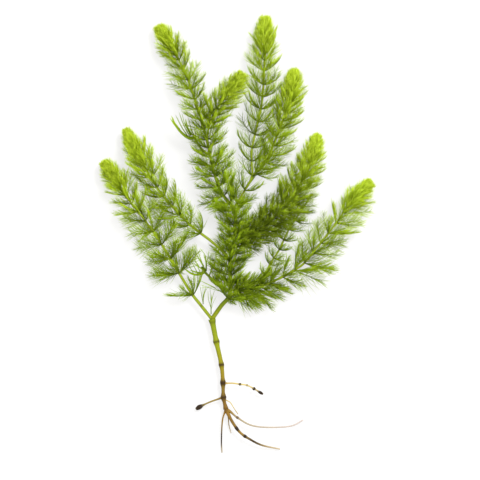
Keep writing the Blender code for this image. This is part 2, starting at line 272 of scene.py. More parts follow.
def stalk(name, route, look, nodes_replaced, end=None, bands=(), spacing=STALK_SPACING):
    """A round tapered stalk along its line, from a bevelled curve. Bands are dark places on
    it, each a distance, a half length and a depth of colour."""
    end = route.length if end is None else end
    distances = np.linspace(0.0, end, max(FEWEST_RINGS, round(end / spacing)))
    curve = bpy.data.curves.new(name, "CURVE")
    curve.dimensions = "3D"
    curve.bevel_depth = 1.0
    curve.bevel_resolution = 2
    curve.use_fill_caps = True
    line = curve.splines.new("POLY")
    line.points.add(len(distances) - 1)
    for point, distance in zip(line.points, distances):
        point.co = (*route.at(distance), 1.0)
        point.radius = route.radius(distance)
    piece = bpy.data.objects.new(name, curve)
    bpy.context.collection.objects.link(piece)
    bpy.ops.object.select_all(action="DESELECT")
    piece.select_set(True)
    bpy.context.view_layer.objects.active = piece
    bpy.ops.object.convert(target="MESH")
    bpy.ops.object.mode_set(mode="EDIT")
    bpy.ops.mesh.select_all(action="SELECT")
    bpy.ops.mesh.remove_doubles(threshold=SAME_PLACE)
    bpy.ops.mesh.normals_make_consistent(inside=False)
    bpy.ops.object.mode_set(mode="OBJECT")
    bpy.ops.object.shade_smooth()
    piece = bpy.context.object
    mesh = piece.data
    places = np.empty(len(mesh.vertices) * 3, np.float32)
    mesh.vertices.foreach_get("co", places)
    line_points = np.array([route.at(distance) for distance in distances])
    nearest = [int(((line_points - place) ** 2).sum(axis=1).argmin())
               for place in places.reshape(-1, 3)]
    reached = distances[nearest]
    depth = np.zeros(len(reached))
    for place, half_length, strength in bands:
        depth = np.maximum(depth, strength * np.exp(-(((reached - place) / half_length) ** 2)))
    kept = [reached / route.length, depth, np.zeros(len(reached))]
    keep_growth(mesh, np.stack(kept, axis=1))
    mesh.materials.append(look)
    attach(piece, "root")
    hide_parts(*nodes_replaced)


MAIN_STEM = [
    (226, 409, 3.6), (223.5, 397, 3.9), (223, 383, 4.2), (221.5, 365, 4.5), (216.5, 342, 4.6),
    (212, 319, 4.6),
]
main_stem = Route(MAIN_STEM, (0.0008, 0.0015), [
    (0.0, 0.0006, 0.0025), (0.0067, 0.0007, 0.0018), (0.0147, 0.0006, 0.0018),
    (0.0247, 0.0004, 0.0015), (0.0376, 0.0005, 0.0015), (0.0500, 0.0005, 0.0020),
])
main_look = stalk_look("main_stem_skin", [
    (0.0, (0.16, 0.085, 0.010)), (0.12, (0.13, 0.075, 0.010)), (0.22, (0.15, 0.10, 0.012)),
    (0.34, (0.19, 0.135, 0.010)), (0.50, (0.20, 0.175, 0.006)), (0.72, (0.19, 0.22, 0.005)),
    (1.0, (0.15, 0.195, 0.004)),
], (0.030, 0.016, 0.003))
stalk("main_stalk", main_stem, main_look, ["main_stem"], bands=[
    (0.0, 0.0012, 0.5), (0.0067, 0.0013, 1.1), (0.0147, 0.0016, 1.3), (0.0247, 0.0010, 1.1),
    (0.0376, 0.0007, 0.9), (0.0485, 0.0010, 0.4),
])


# Each shoot's stem is a thin round stalk that grows out of the one below it. It is paler and
# yellower than the leaves, with a dark ring at every node where a whorl of leaves stands. The
# trunk's stalk is darker along its lower middle, where its dense leaves stand: painted shade.
STEM_SHORTER = 0.0030
WIDEST_GAP = 0.0060
CLOSEST_GAP = 0.0005
GAP_GROWTH = 0.13
RING_HALF = 0.0005
RING_DEPTH = 0.8
TRUNK = [
    (212, 319, 4.6), (221, 306, 5.0), (229, 296, 5.4), (230.5, 280, 6.0), (230, 262, 6.6),
    (234, 243, 7.2), (235, 225, 7.6), (233.5, 209, 8.0), (221, 192, 8.2), (213, 168, 8.4),
    (207.5, 143, 8.4), (201, 118, 8.0), (196, 103, 7.5), (191, 88, 7.0), (186.5, 77, 6.8),
    (177, 57, 6.5), (158, 26, 6.5),
]
FAR_LEFT = [
    (212, 319, 4.6), (200, 304, 4.8), (191.5, 293, 5.0), (178, 271, 5.5), (170, 257, 5.8),
    (160.5, 242.5, 6.0), (152, 230, 6.0), (144, 219, 6.0), (137, 210, 6.0), (130.5, 202, 6.0),
    (118, 183, 6.0), (103, 161, 6.2),
]
TALLEST = [
    (233.5, 209, 8.0), (245, 190, 8.8), (252, 176, 9.2), (251.5, 162, 9.0), (252, 148, 8.6),
    (255, 135, 8.2), (258, 122, 7.8), (261, 109, 7.4), (262.5, 97, 7.0), (264, 71, 6.6),
    (265, 45, 6.4), (265, 16.5, 6.4),
]
UPPER_RIGHT = [
    (252, 176, 9.2), (257, 172, 9.0), (261, 168, 8.6), (269, 156, 7.8), (276, 138, 7.0),
    (284, 118, 6.4), (290, 97, 6.2), (294.5, 69, 6.2),
]
RAISED = [
    (207, 141, 8.4), (209, 128, 11.5), (214, 115, 13.6), (220, 105, 15.0), (228, 94, 16.2),
    (236, 84, 17.0), (243, 73, 17.4),
]
INNER_RIGHT = [
    (234, 246, 7.1), (243, 240, 8.2), (253, 233.5, 9.0), (263, 227, 9.6), (274, 217, 10.0),
    (290, 202, 10.0), (301, 182, 9.4), (310, 160, 8.6), (318, 134, 8.0),
]
FAR_RIGHT = [
    (229, 296, 5.4), (238, 292, 5.4), (249, 289, 5.4), (259, 287, 5.4), (270, 282.5, 5.6),
    (283, 276.5, 5.8), (295, 269.5, 6.0), (304.5, 262.5, 6.2), (320.5, 243, 6.4), (336, 223, 6.4),
    (351, 202, 6.2), (371, 180.5, 6.2),
]
INNER_LEFT = [
    (230, 262, 6.6), (225, 253.5, 6.8), (211, 241, 6.8), (201, 233.5, 6.6), (190.5, 225, 6.4),
    (180.5, 215, 6.2), (164, 197, 6.2), (150, 176, 6.2), (136, 151, 6.2), (125, 129, 6.4),
]
HIDDEN = [
    (259, 287, 5.4), (265, 275, 4.2), (270, 264, 3.6), (279.5, 249, 3.4), (288.5, 230, 3.4),
    (300, 212, 3.4), (316, 189, 3.6),
]
SMALL_SIDE = [
    (229.5, 291, 5.6), (221, 287, 6.4), (215, 281.5, 7.0), (205.5, 272.5, 7.6), (199, 262, 8.0),
]
SHORT_SIDE = [(211, 156, 8.4), (206, 153, 9.2), (200.5, 148, 10.0), (195, 139, 10.6)]

trunk = Route(TRUNK, (0.0012, 0.0005))
far_left = Route(FAR_LEFT, (0.0009, 0.0004))
tallest = Route(TALLEST, (0.0006, 0.0005))
upper_right = Route(UPPER_RIGHT, (0.0006, 0.0005))
raised = Route(RAISED, (0.0006, 0.0005))
inner_right = Route(INNER_RIGHT, (0.0007, 0.0005))
far_right = Route(FAR_RIGHT, (0.0008, 0.0004))
inner_left = Route(INNER_LEFT, (0.0008, 0.0005))
hidden = Route(HIDDEN, (0.0006, 0.0004))
small_side = Route(SMALL_SIDE, (0.0008, 0.0006))
short_side = Route(SHORT_SIDE, (0.0007, 0.0006))


def whorl_places(route, counted):
    """Where the whorls of a shoot stand: the counted ones, then closer and closer to its tip."""
    places = list(counted)
    while True:
        left = route.length - places[-1] - STEM_SHORTER
        gap = min(WIDEST_GAP, CLOSEST_GAP + GAP_GROWTH * left)
        if gap > left:
            return np.array(places)
        places.append(places[-1] + gap)


far_left_whorls = whorl_places(far_left, [
    0.0094, 0.0170, 0.0312, 0.0403, 0.0496, 0.0579, 0.0654, 0.0716, 0.0773, 0.0829,
])
inner_left_whorls = whorl_places(inner_left, [
    0.0229, 0.0304, 0.0382, 0.0445, 0.0516, 0.0577, 0.0640,
])
trunk_whorls = np.array([
    0.0146, 0.0190, 0.0232, 0.0275, 0.0315, 0.0355, 0.0395, 0.0430, 0.0470, 0.0510, 0.0550,
    0.0590, 0.0629,
])
upper_left_whorls = whorl_places(trunk, [
    0.0680, 0.0733, 0.0790, 0.0849, 0.0905, 0.0955, 0.1010, 0.1054, 0.1115, 0.1168, 0.1227,
    0.1289, 0.1346, 0.1401, 0.1463, 0.1521,
])
tallest_whorls = whorl_places(tallest, [
    0.0040, 0.0122, 0.0209, 0.0290, 0.0363, 0.0437, 0.0510, 0.0583, 0.0650,
    0.0717, 0.0793, 0.0851,
])
upper_right_whorls = whorl_places(upper_right, [
    0.0027, 0.0066, 0.0106, 0.0151, 0.0207, 0.0258, 0.0311,
])
raised_whorls = whorl_places(raised, [0.0074, 0.0106, 0.0150, 0.0195])
inner_right_whorls = whorl_places(inner_right, [
    0.0040, 0.0070, 0.0100, 0.0130, 0.0165, 0.0198, 0.0235, 0.0273, 0.0312, 0.0350, 0.0385,
    0.0425, 0.0468,
])
far_right_whorls = whorl_places(far_right, [
    0.0030, 0.0060, 0.0090, 0.0120, 0.0150, 0.0185, 0.0238, 0.0317, 0.0394, 0.0459, 0.0531,
    0.0598, 0.0667, 0.0737, 0.0806,
])
hidden_whorls = np.array([0.0070, 0.0140, 0.0181, 0.0238, 0.0294, 0.0360, 0.0420, 0.0480])
small_side_whorls = np.array([0.0090, 0.0167, 0.0205])

stem_look = stalk_look("shoot_stem_skin", [
    (0.0, (0.18, 0.225, 0.010)), (0.35, (0.21, 0.28, 0.010)), (0.75, (0.25, 0.33, 0.010)),
    (1.0, (0.28, 0.38, 0.010)),
], (0.05, 0.075, 0.003), 0.45)
# Painted shade: the trunk's stalk is darker from about a tenth to a third of its length, under
# its dense lower leaves.
trunk_look = stalk_look("trunk_skin_with_painted_shade", [
    (0.0, (0.17, 0.20, 0.006)), (0.07, (0.10, 0.14, 0.003)), (0.36, (0.09, 0.135, 0.002)),
    (0.6, (0.15, 0.21, 0.006)), (1.0, (0.26, 0.36, 0.010)),
], (0.05, 0.08, 0.003), 0.45)
dark_look = stalk_look("side_stem_skin", [
    (0.0, (0.10, 0.14, 0.003)), (1.0, (0.12, 0.18, 0.003)),
], (0.05, 0.08, 0.003), 0.45)
for name, route, look, whorls, replaced in (
    ("trunk_stalk", trunk, trunk_look, [*trunk_whorls, *upper_left_whorls],
     ["trunk_low", "trunk_high", "upper_left_stem"]),
    ("far_left_stalk", far_left, stem_look, far_left_whorls, ["far_left_stem"]),
    ("tallest_stalk", tallest, stem_look, tallest_whorls, ["tallest_stem"]),
    ("upper_right_stalk", upper_right, stem_look, upper_right_whorls, ["upper_right_stem"]),
    ("raised_stalk", raised, stem_look, raised_whorls, ["raised_stem"]),
    ("inner_right_stalk", inner_right, dark_look, inner_right_whorls, ["inner_right_stem"]),
    ("far_right_stalk", far_right, stem_look, far_right_whorls, ["far_right_stem"]),
    ("inner_left_stalk", inner_left, stem_look, inner_left_whorls, ["inner_left_stem"]),
    ("hidden_stalk", hidden, stem_look, hidden_whorls, ["hidden_stem"]),
    ("small_side_stalk", small_side, dark_look, small_side_whorls, ["small_side_stem"]),
):
    stalk(name, route, look, replaced, end=route.length - STEM_SHORTER,
          bands=[(place, RING_HALF, RING_DEPTH) for place in whorls])
stalk("short_side_stalk", short_side, dark_look, ["short_side_stem"])


# The roots are thin threads that grow from the lowest nodes of the main stem. They are amber
# at the stem and paler further out, with small dark knots, dark bands and dark dead ends.
ROOT_DARK = (0.020, 0.011, 0.004)
ROOT_ROUGHNESS = 0.36
ROOT_SPACING = 0.0003
amber_look = stalk_look("root_amber_skin", [
    (0.0, (0.20, 0.105, 0.012)), (0.35, (0.20, 0.12, 0.018)), (0.7, (0.22, 0.15, 0.045)),
    (1.0, (0.40, 0.33, 0.22)),
], ROOT_DARK, ROOT_ROUGHNESS)
cream_look = stalk_look("root_cream_skin", [
    (0.0, (0.26, 0.15, 0.02)), (0.12, (0.40, 0.30, 0.09)), (0.5, (0.46, 0.37, 0.14)),
    (1.0, (0.34, 0.26, 0.12)),
], ROOT_DARK, ROOT_ROUGHNESS)
olive_look = stalk_look("root_olive_skin", [
    (0.0, (0.14, 0.08, 0.010)), (0.3, (0.20, 0.14, 0.030)), (1.0, (0.20, 0.16, 0.060)),
], ROOT_DARK, ROOT_ROUGHNESS)
pale_look = stalk_look("root_pale_skin", [
    (0.0, (0.18, 0.10, 0.012)), (0.10, (0.20, 0.13, 0.03)), (0.25, (0.30, 0.25, 0.16)),
    (1.0, (0.42, 0.36, 0.33)),
], (0.09, 0.055, 0.03), ROOT_ROUGHNESS)
root_right = Route([
    (223, 383, 4.2), (233, 383, 4.4), (240, 384, 4.6), (247, 385, 4.6), (254, 388.5, 4.2),
    (263, 394, 3.4),
], (0.00042, 0.00040), [
    (0.0, 0.0006, 0.0015), (0.0094, 0.0004, 0.0006), (0.0133, 0.00025, 0.0005),
    (0.0176, 0.0006, 0.0007), (0.0218, 0.00045, 0.0014),
])
root_left = Route([
    (223.5, 397, 3.9), (212, 401, 3.2), (203, 405, 2.4), (196, 409, 1.8),
], (0.00050, 0.00042), [(0.0, 0.0006, 0.0015), (0.0146, 0.0009, 0.0021)])
root_thin = Route([
    (226, 409, 3.6), (231, 412, 3.8), (237, 417, 4.2), (250, 424.5, 4.4), (266, 427, 4.0),
    (290, 426, 2.8), (303, 420, 1.2),
], (0.00050, 0.00038), [(0.0, 0.0006, 0.0030), (0.0078, 0.0003, 0.0008)])
root_banded = Route([
    (226, 409, 3.6), (232, 421, 4.4), (240, 432, 4.6), (250, 439, 4.0), (262, 445, 2.8),
    (280, 449, 1.0),
], (0.0009, 0.00040), [(0.0, 0.0004, 0.0030), (0.0122, 0.0002, 0.0010),
                        (0.0184, 0.0003, 0.0008)])
root_down = Route([
    (226, 409, 3.6), (222.5, 420, 2.8), (221.5, 440, 1.6), (222, 452.5, 0.8),
], (0.00044, 0.00034), [(0.0, 0.0004, 0.0020)])
rootlet_high = Route([(224, 399, 3.8), (230, 402, 3.6), (234, 408, 3.0), (238, 414, 2.0)],
                     (0.00028, 0.00022))
rootlet_low = Route([(225, 405, 3.4), (228, 416, 2.6), (229, 425, 1.8), (231, 433, 1.0)],
                    (0.00036, 0.00022))
for name, route, look, node, bands in (
    ("right_root", root_right, cream_look, "root_right",
     [(0.0, 0.0015, 0.6), (0.0094, 0.0007, 1.1), (0.0133, 0.0005, 0.6), (0.0176, 0.0009, 1.3),
      (0.0218, 0.0018, 1.6)]),
    ("left_root", root_left, olive_look, "root_left",
     [(0.0, 0.0015, 0.6), (0.0146, 0.0024, 1.7)]),
    ("thin_root", root_thin, pale_look, "root_thin", [(0.0078, 0.0008, 1.0)]),
    ("banded_root", root_banded, amber_look, "root_banded",
     [(0.0, 0.002, 0.5), (0.0070, 0.0030, 0.4), (0.0122, 0.0016, 1.4), (0.0184, 0.0010, 1.5),
      (0.0240, 0.0050, 1.0)]),
    ("down_root", root_down, amber_look, "root_down", [(0.0165, 0.0055, 1.3)]),
    ("high_rootlet", rootlet_high, cream_look, "main_stem", []),
    ("low_rootlet", rootlet_low, amber_look, "root_banded", []),
):
    stalk(name, route, look, [node], bands=bands, spacing=ROOT_SPACING)


# Leaves stand in whorls of six. Each is a soft dark midrib with two rows of thread-like
# segments, which curve toward the shoot's tip. Young leaves at the tip are short, closed and
# bright, and lower ones stand out, darker and wider apart; in the dense lower parts of the
# shoots part of that darkness is painted shade.
WHORL = 6
RIB_POINTS = 7
RIB_THICK = 0.00043
SEGMENT_THICK = 0.00014
SEGMENT_SPACING = 0.0009
SEGMENT_KNEE = 0.6
SEGMENT_REACHES = (0.35, 0.7, 1.0)
BARE_END = 0.04
FULL_LENGTH = 0.0100
SURFACE_ROOM = 0.00030
BEND_HEIGHT = 0.0030
rib_share = np.linspace(0.0, 1.0, RIB_POINTS)
chance = np.random.default_rng(41)

# How a shoot's leaves grow: how far a midrib turns on its way, how far a leaf is twisted and
# how far its two rows of segments spread, in degrees, what share of the midrib's slope the
# segments lose toward the shoot's tip, and how long they are beside the midrib.
Habit = namedtuple("Habit", "bend twist spread upturn length")


class Threads:
    """Thin tapered threads with three sides and a point, gathered for one mesh."""

    def __init__(self):
        self.places, self.faces, self.numbers, self.count = [], [], [], 0

    def add(self, lines, radii, numbers):
        """Lines are (thread, point, xyz); radii and numbers go with their points."""
        threads, points = lines.shape[:2]
        ahead = unit(np.gradient(lines, axis=1))
        across = np.where(np.abs(ahead[..., 2:]) > 0.9, [1.0, 0.0, 0.0], [0.0, 0.0, 1.0])
        side = unit(np.cross(ahead, across))
        up = np.cross(side, ahead)
        corners = math.tau * np.arange(3) / 3
        ring = (np.cos(corners)[:, None] * side[:, :-1, None]
                + np.sin(corners)[:, None] * up[:, :-1, None])
        rings = lines[:, :-1, None] + radii[:, :-1, None, None] * ring
        places = np.concatenate([rings.reshape(threads, -1, 3), lines[:, -1:]], axis=1)
        kept = np.concatenate([np.repeat(numbers[:, :-1], 3, axis=1), numbers[:, -1:]], axis=1)
        one = [(2, 1, 0)]
        for i in range(points - 2):
            for j in range(3):
                k = (j + 1) % 3
                one.append((3 * i + j, 3 * i + k, 3 * i + 3 + k, 3 * i + 3 + j))
        last, tip = 3 * (points - 2), 3 * (points - 1)
        one += [(last, last + 1, tip), (last + 1, last + 2, tip), (last + 2, last, tip)]
        each = places.shape[1]
        for thread in range(threads):
            start = self.count + thread * each
            self.faces += [tuple(start + i for i in face) for face in one]
        self.places.append(places.reshape(-1, 3))
        self.numbers.append(kept.reshape(-1, 3))
        self.count += threads * each


def lowered(places):
    """The same places, with all that would reach under the surface bent to lie along it."""
    low = BEND_HEIGHT - SURFACE_ROOM
    height = places[..., 2]
    bent = SURFACE_ROOM + low * np.exp(np.minimum(height - BEND_HEIGHT, 0.0) / low)
    places[..., 2] = np.where(height < BEND_HEIGHT, bent, height)
    return places


def midrib(root, along, outward, reach, bend):
    """A curved midrib that ends so far out from its root and so far toward the shoot's tip: its
    points, its slope away from the stem at each of them, and its length."""
    slopes = -bend * rib_share ** 0.85
    mean_way = np.array([np.sin(slopes).mean(), np.cos(slopes).mean()])
    slopes += math.atan2(*reach) - math.atan2(*mean_way) + chance.normal(0, 0.05)
    length = math.hypot(*reach) / np.linalg.norm(mean_way)
    ways = np.sin(slopes)[:, None] * outward + np.cos(slopes)[:, None] * along
    steps = 0.5 * (ways[1:] + ways[:-1]) * length / (RIB_POINTS - 1)
    points = np.concatenate([[np.zeros(3)], np.cumsum(steps, axis=0)])
    sway = length * chance.normal(0.0, 0.08) * np.cross(along, outward)
    return root + points + (rib_share ** 2)[:, None] * sway, slopes, length


def segments(rib, slopes, length, along, outward, habit, closed, dense):
    """The two rows of segments beside a midrib, each from its root over a knee to its end. They
    are longest near the leaf's root and get shorter toward its end."""
    count = 2 * max(3, round(dense * length / SEGMENT_SPACING))
    row = np.where(np.arange(count) % 2, 1.0, -1.0)
    place = BARE_END + (1.0 - 2 * BARE_END) * np.linspace(0.0, 1.0, count) ** 1.1
    place = np.clip(place + chance.normal(0, 0.02, count), 0.0, 1.0)
    start = np.stack([np.interp(place, rib_share, rib[:, i]) for i in range(3)], axis=1)
    loose = 0.09 + 0.05 * (1.0 - closed)
    slope = np.interp(place, rib_share, slopes) * (1.0 - habit.upturn)
    slope = np.maximum(slope, 0.06) + chance.normal(0, loose, count)
    flat = np.sin(slope)[:, None] * outward + np.cos(slope)[:, None] * along
    tangent = np.cross(along, outward)
    twist = chance.normal(0, math.radians(habit.twist))
    across = math.cos(twist) * tangent + math.sin(twist) * np.cross(flat, tangent)
    spread = row * math.radians(habit.spread) * (1.0 - 0.12 * closed)
    spread += chance.normal(0, 1.6 * loose, count)
    first = np.cos(spread)[:, None] * flat + np.sin(spread)[:, None] * across
    second = unit(first + 0.16 * along + chance.normal(0, 0.5 * loose, (count, 3)))
    when_open = habit.length * (1.28 - 0.86 * place)
    when_closed = 0.95 - 0.70 * place
    shorter = np.abs(chance.normal(0, 0.08 + loose, count))
    size = length * (when_open * (1.0 - closed) + when_closed * closed) * (1.10 - shorter)
    knee = start + SEGMENT_KNEE * size[:, None] * first
    end = knee + (1.0 - SEGMENT_KNEE) * size[:, None] * second
    return np.stack([start, knee, end], axis=1)


def add_leaf(threads, root, along, outward, reach, habit, closed, age, tone, dense):
    """One leaf on its shoot. A closed leaf is straighter and narrower, a young one is brighter
    and has thinner segments, and a short one has thinner threads."""
    bend = chance.normal(math.radians(habit.bend), 0.06) * (1.0 - 0.65 * closed)
    rib, slopes, length = midrib(root, along, outward, reach, bend)
    rib = lowered(rib)
    small = 0.6 + 0.4 * min(1.0, length / FULL_LENGTH)
    numbers = [np.full(RIB_POINTS, age), 0.25 * rib_share, np.full(RIB_POINTS, tone)]
    threads.add(rib[None], (RIB_THICK * small * (1.0 - 0.6 * rib_share))[None],
                np.stack(numbers, axis=1)[None])
    lines = lowered(segments(rib, slopes, length, along, outward, habit, closed, dense))
    count = len(lines)
    thin = SEGMENT_THICK * small * (1.0 - 0.45 * age)
    tones = np.repeat((tone + chance.normal(0, 0.14, count))[:, None], 3, axis=1)
    numbers = [np.full((count, 3), age), np.tile(SEGMENT_REACHES, (count, 1)), tones]
    threads.add(lines, np.tile([thin, 0.9 * thin, 0.0], (count, 1)), np.stack(numbers, axis=2))


def leaf_look(name):
    """Leaf flesh: deep olive midribs, green segments with paler ends, lime at the shoot's tip."""
    nodes = Nodes(name)
    age, reach, tone = growth(nodes)
    patches = speckle(nodes, 500.0)
    grown = nodes.add("ShaderNodeValToRGB", {"stops": [
        (0.0, (0.060, 0.100, 0.002)), (0.35, (0.145, 0.235, 0.004)), (0.7, (0.24, 0.365, 0.008)),
        (1.0, (0.36, 0.49, 0.024)),
    ]}, Fac=reach)
    young = nodes.add("ShaderNodeValToRGB", {"stops": [
        (0.0, (0.20, 0.28, 0.008)), (0.35, (0.32, 0.43, 0.014)), (0.7, (0.42, 0.54, 0.024)),
        (1.0, (0.52, 0.65, 0.070)),
    ]}, Fac=reach)
    colour = mixed(nodes, (age + (patches - 0.5) * 0.3).clamped(), grown.outputs["Color"],
                   young.outputs["Color"])
    # The tone lightens or darkens each thread: its own colour, random from thread to thread, and
    # on the long shoots painted shade where it is low in their dense lower parts.
    toned = nodes.add("ShaderNodeHueSaturation", Color=colour, Value=0.82 + 0.56 * tone)
    nodes.set(Base_Color=toned.outputs["Color"], Roughness=0.5 + 0.15 * patches)
    nodes.set(Specular_IOR_Level=0.06)
    return nodes.look


green_look = leaf_look("leaf_green_flesh")


def leaf_piece(name, threads, replaced):
    mesh = bpy.data.meshes.new(name)
    mesh.from_pydata(np.concatenate(threads.places).tolist(), [], threads.faces)
    keep_growth(mesh, np.concatenate(threads.numbers))
    mesh.shade_smooth()
    mesh.materials.append(green_look)
    piece = bpy.data.objects.new(name, mesh)
    bpy.context.collection.objects.link(piece)
    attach(piece, "root")
    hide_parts(*replaced)


# Toward its tip a shoot's leaves close, with the same reach ahead on every shoot, and its last
# ones are young. Midribs end inside the shoot's width, because their segments go past them.
RIB_REACH = 0.88
CLOSED_REACH = 0.0100
CLOSED_END = 0.0100
OPENING = 0.0250
YOUNG_END = 0.0040


def foliage(name, route, whorls, form, replaced, forward=0.0042, taper=0.012, youth=0.030,
            tip=0.25, bud=0.018, uneven=(0.0, 0.0), bare=0.0,
            habit=Habit(54.0, 42.0, 34.0, 0.46, 0.70)):
    """All the leaves of one shoot. The form tells, by the distance in millimetres, how wide in
    millimetres the shoot is to each side, how full its leaves are and how light. The lightness
    is partly the leaves' own tone, paler toward the young tips, and partly painted shade, low in
    the dense lower parts where the leaves overlap, most of all on the inner right shoot and the
    trunk. Open leaves reach so far forward.
    width, its leaves brighten over its youth, and in its bud a second, inner whorl stands in
    each. An uneven shoot is wider to its right, or with a number below zero to its left, at
    its start and at its tip. A bare one has fewer segments in its upper leaves, so that its
    stem shows."""
    # The fourth column is the leaves' lightness: their own tone, paler toward the tips, with
    # painted shade where it is low in the dense lower parts of the shoots.
    marks, widths, fullness, tone_and_painted_shade = np.array(form).T
    threads = Threads()
    for number, distance in enumerate(whorls):
        centre, along = route.at(distance), route.along(distance)
        side = unit(np.cross(along, (0.0, 0.0, 1.0)))
        up = np.cross(side, along)
        left = route.length - distance
        closed = math.exp(-max(left - CLOSED_END, 0.0) / OPENING) if bud else 0.0
        longest = forward + (CLOSED_REACH - forward) * closed
        ahead = left / (1.0 + (left / longest) ** 3) ** (1 / 3)
        mark = 1000 * distance
        full = MM * np.interp(mark, marks, widths)
        wide = RIB_REACH * full * (1 - (1 - tip) * math.exp(-(left - ahead) / taper))
        dense = np.interp(mark, marks, fullness)
        leaf_tone_and_shade = np.interp(mark, marks, tone_and_painted_shade)
        age = math.exp(-max(left - YOUNG_END, 0.0) / youth)
        turn = math.radians(30 if number % 2 else 4) + chance.normal(0, 0.08)
        uneasy = 0.08 - 0.02 * closed
        for i in range(2 * WHORL if left < bud else WHORL):
            angle = math.tau * i / WHORL + turn + chance.normal(0, 0.07)
            outward = math.cos(angle) * side + math.sin(angle) * up
            inner, longer = (1.0, 0.94 - 0.10 * closed) if i < WHORL else (0.4, 0.90)
            inner *= 1.0 + np.interp(distance, (0, route.length), uneven) * math.cos(angle)
            add_leaf(threads, centre + 0.6 * route.radius(distance) * outward, along, outward,
                     (inner * wide * (1 + chance.normal(0, 0.03 + uneasy)),
                      longer * ahead * (1 + chance.normal(0, 0.04 + uneasy))),
                     habit, closed, age, chance.normal(leaf_tone_and_shade, 0.15),
                     dense * (1.0 - bare * (1.0 - closed) * max(math.sin(angle), 0.0)))
    leaf_piece(name, threads, replaced)


# In each form below, the low values of the last column, in the dense lower parts of the shoots,
# are painted shade.
# The far left shoot's first ring bears only the single leaves of the next section.
foliage(
    "far_left_foliage", far_left, far_left_whorls[1:],
    [(17, 11, 1.1, 0.3), (31, 15, 2.2, 0.0), (50, 14, 1.6, 0.4), (75, 11.2, 1.6, 0.6),
     (103, 9.2, 1.9, 0.6)],
    ["far_left_whorl_1", "far_left_whorl_2", "far_left_whorl_3", "far_left_leaves"],
    forward=0.0068, taper=0.011, uneven=(0.14, 0.02), bare=0.4,
    habit=Habit(18.0, 70.0, 32.0, 0.18, 0.86))
foliage(
    "inner_left_foliage", inner_left, inner_left_whorls,
    [(22, 8.8, 1.0, 0.3), (45, 9.8, 1.6, 0.4), (70, 10.4, 2.0, 0.6), (90, 7.2, 1.9, 0.6)],
    ["inner_left_leaves"], forward=0.0085, uneven=(-0.18, 0.22), bare=0.5,
    habit=Habit(50.0, 42.0, 34.0, 0.42, 0.72))
foliage(
    "trunk_foliage", trunk, trunk_whorls,
    [(8, 9.5, 2.0, 0.0), (16, 10.8, 1.6, -0.1), (25, 11.6, 1.4, 0.0), (45, 10, 1.6, 0.1),
     (62, 11.6, 1.6, 0.25)],
    ["trunk_leaves_low", "trunk_leaves_high"], forward=0.0055, youth=0.010,
    uneven=(-0.06, 0.06), habit=Habit(36.0, 30.0, 36.0, 0.32, 0.82))
foliage(
    "upper_left_foliage", trunk, upper_left_whorls,
    [(62, 11.6, 1.7, 0.25), (90, 12, 1.6, 0.3), (98, 11.6, 1.3, 0.3), (108, 10.5, 1.0, 0.3),
     (124, 10.5, 1.0, 0.3), (150, 10.2, 1.5, 0.5), (174, 10, 1.9, 0.6)],
    ["upper_left_leaves_low", "upper_left_whorl", "upper_left_leaves"], forward=0.0052,
    taper=0.010, uneven=(0.04, 0.0), habit=Habit(28.0, 52.0, 34.0, 0.26, 0.84))
foliage(
    "tallest_foliage", tallest, tallest_whorls,
    [(4, 8.5, 1.0, 0.2), (21, 9, 0.5, 0.2), (45, 11.2, 0.85, 0.2), (70, 11.4, 1.4, 0.35),
     (90, 10.7, 1.7, 0.55), (109, 10.2, 1.8, 0.6)],
    ["tallest_leaves_low", "tallest_leaves"], forward=0.0085, bare=0.6,
    habit=Habit(60.0, 42.0, 32.0, 0.44, 0.72))
foliage(
    "upper_right_foliage", upper_right, upper_right_whorls,
    [(2, 8, 0.9, 0.3), (12, 10, 1.1, 0.3), (30, 10.8, 1.4, 0.3), (50, 10.2, 1.8, 0.5),
     (64, 9.6, 2.0, 0.6)],
    ["upper_right_leaves"], forward=0.0080, taper=0.010, uneven=(0.14, 0.0))
foliage(
    "raised_foliage", raised, raised_whorls,
    [(7, 10, 1.2, 0.35), (25, 11, 1.4, 0.4), (46, 10.5, 1.6, 0.3)],
    ["raised_leaves"], forward=0.0060, taper=0.010, tip=0.30, uneven=(-0.05, 0.22),
    habit=Habit(30.0, 40.0, 34.0, 0.42, 0.82))
foliage(
    "inner_right_foliage", inner_right, inner_right_whorls,
    [(4, 9, 1.5, -0.4), (20, 11.5, 1.7, -0.4), (35, 12.8, 1.5, -0.1), (47, 12.6, 1.7, 0.2),
     (60, 11.4, 1.8, 0.45), (80, 7.2, 1.8, 0.6)],
    ["inner_right_leaves"], forward=0.0065, taper=0.010, uneven=(0.05, -0.04),
    habit=Habit(38.0, 36.0, 34.0, 0.42, 0.78))
foliage(
    "far_right_foliage", far_right, far_right_whorls,
    [(3, 9.5, 2.0, -0.1), (25, 10.4, 1.5, 0.1), (42, 12.6, 1.3, 0.35), (47, 12.8, 1.9, 0.1),
     (53, 12.5, 1.4, 0.4), (75, 12, 1.4, 0.55), (108, 9.7, 1.7, 0.6)],
    ["far_right_whorl", "far_right_leaves"], forward=0.0078, uneven=(0.18, 0.24), bare=0.7,
    habit=Habit(16.0, 70.0, 32.0, 0.22, 0.86))
foliage(
    "hidden_foliage", hidden, hidden_whorls,
    [(7, 6, 0.7, 0.5), (30, 8, 0.7, 0.45), (48, 8.5, 1.0, 0.1)],
    ["hidden_leaves"], youth=0.001, tip=0.9, bud=0.0)


# A few leaves stand alone: at the forks, where no whole whorl shows, and on the two short side
# shoots, whose few long segments can be told apart. Each strand is one midrib or segment. Three
# more leaves, made as on the long shoots, hang where the far right shoot leaves the trunk.
HANGING_PLACE = 0.0010
HANGING_AHEAD = 0.0012
HANGING_HABIT = Habit(30.0, 40.0, 36.0, 0.10, 0.90)


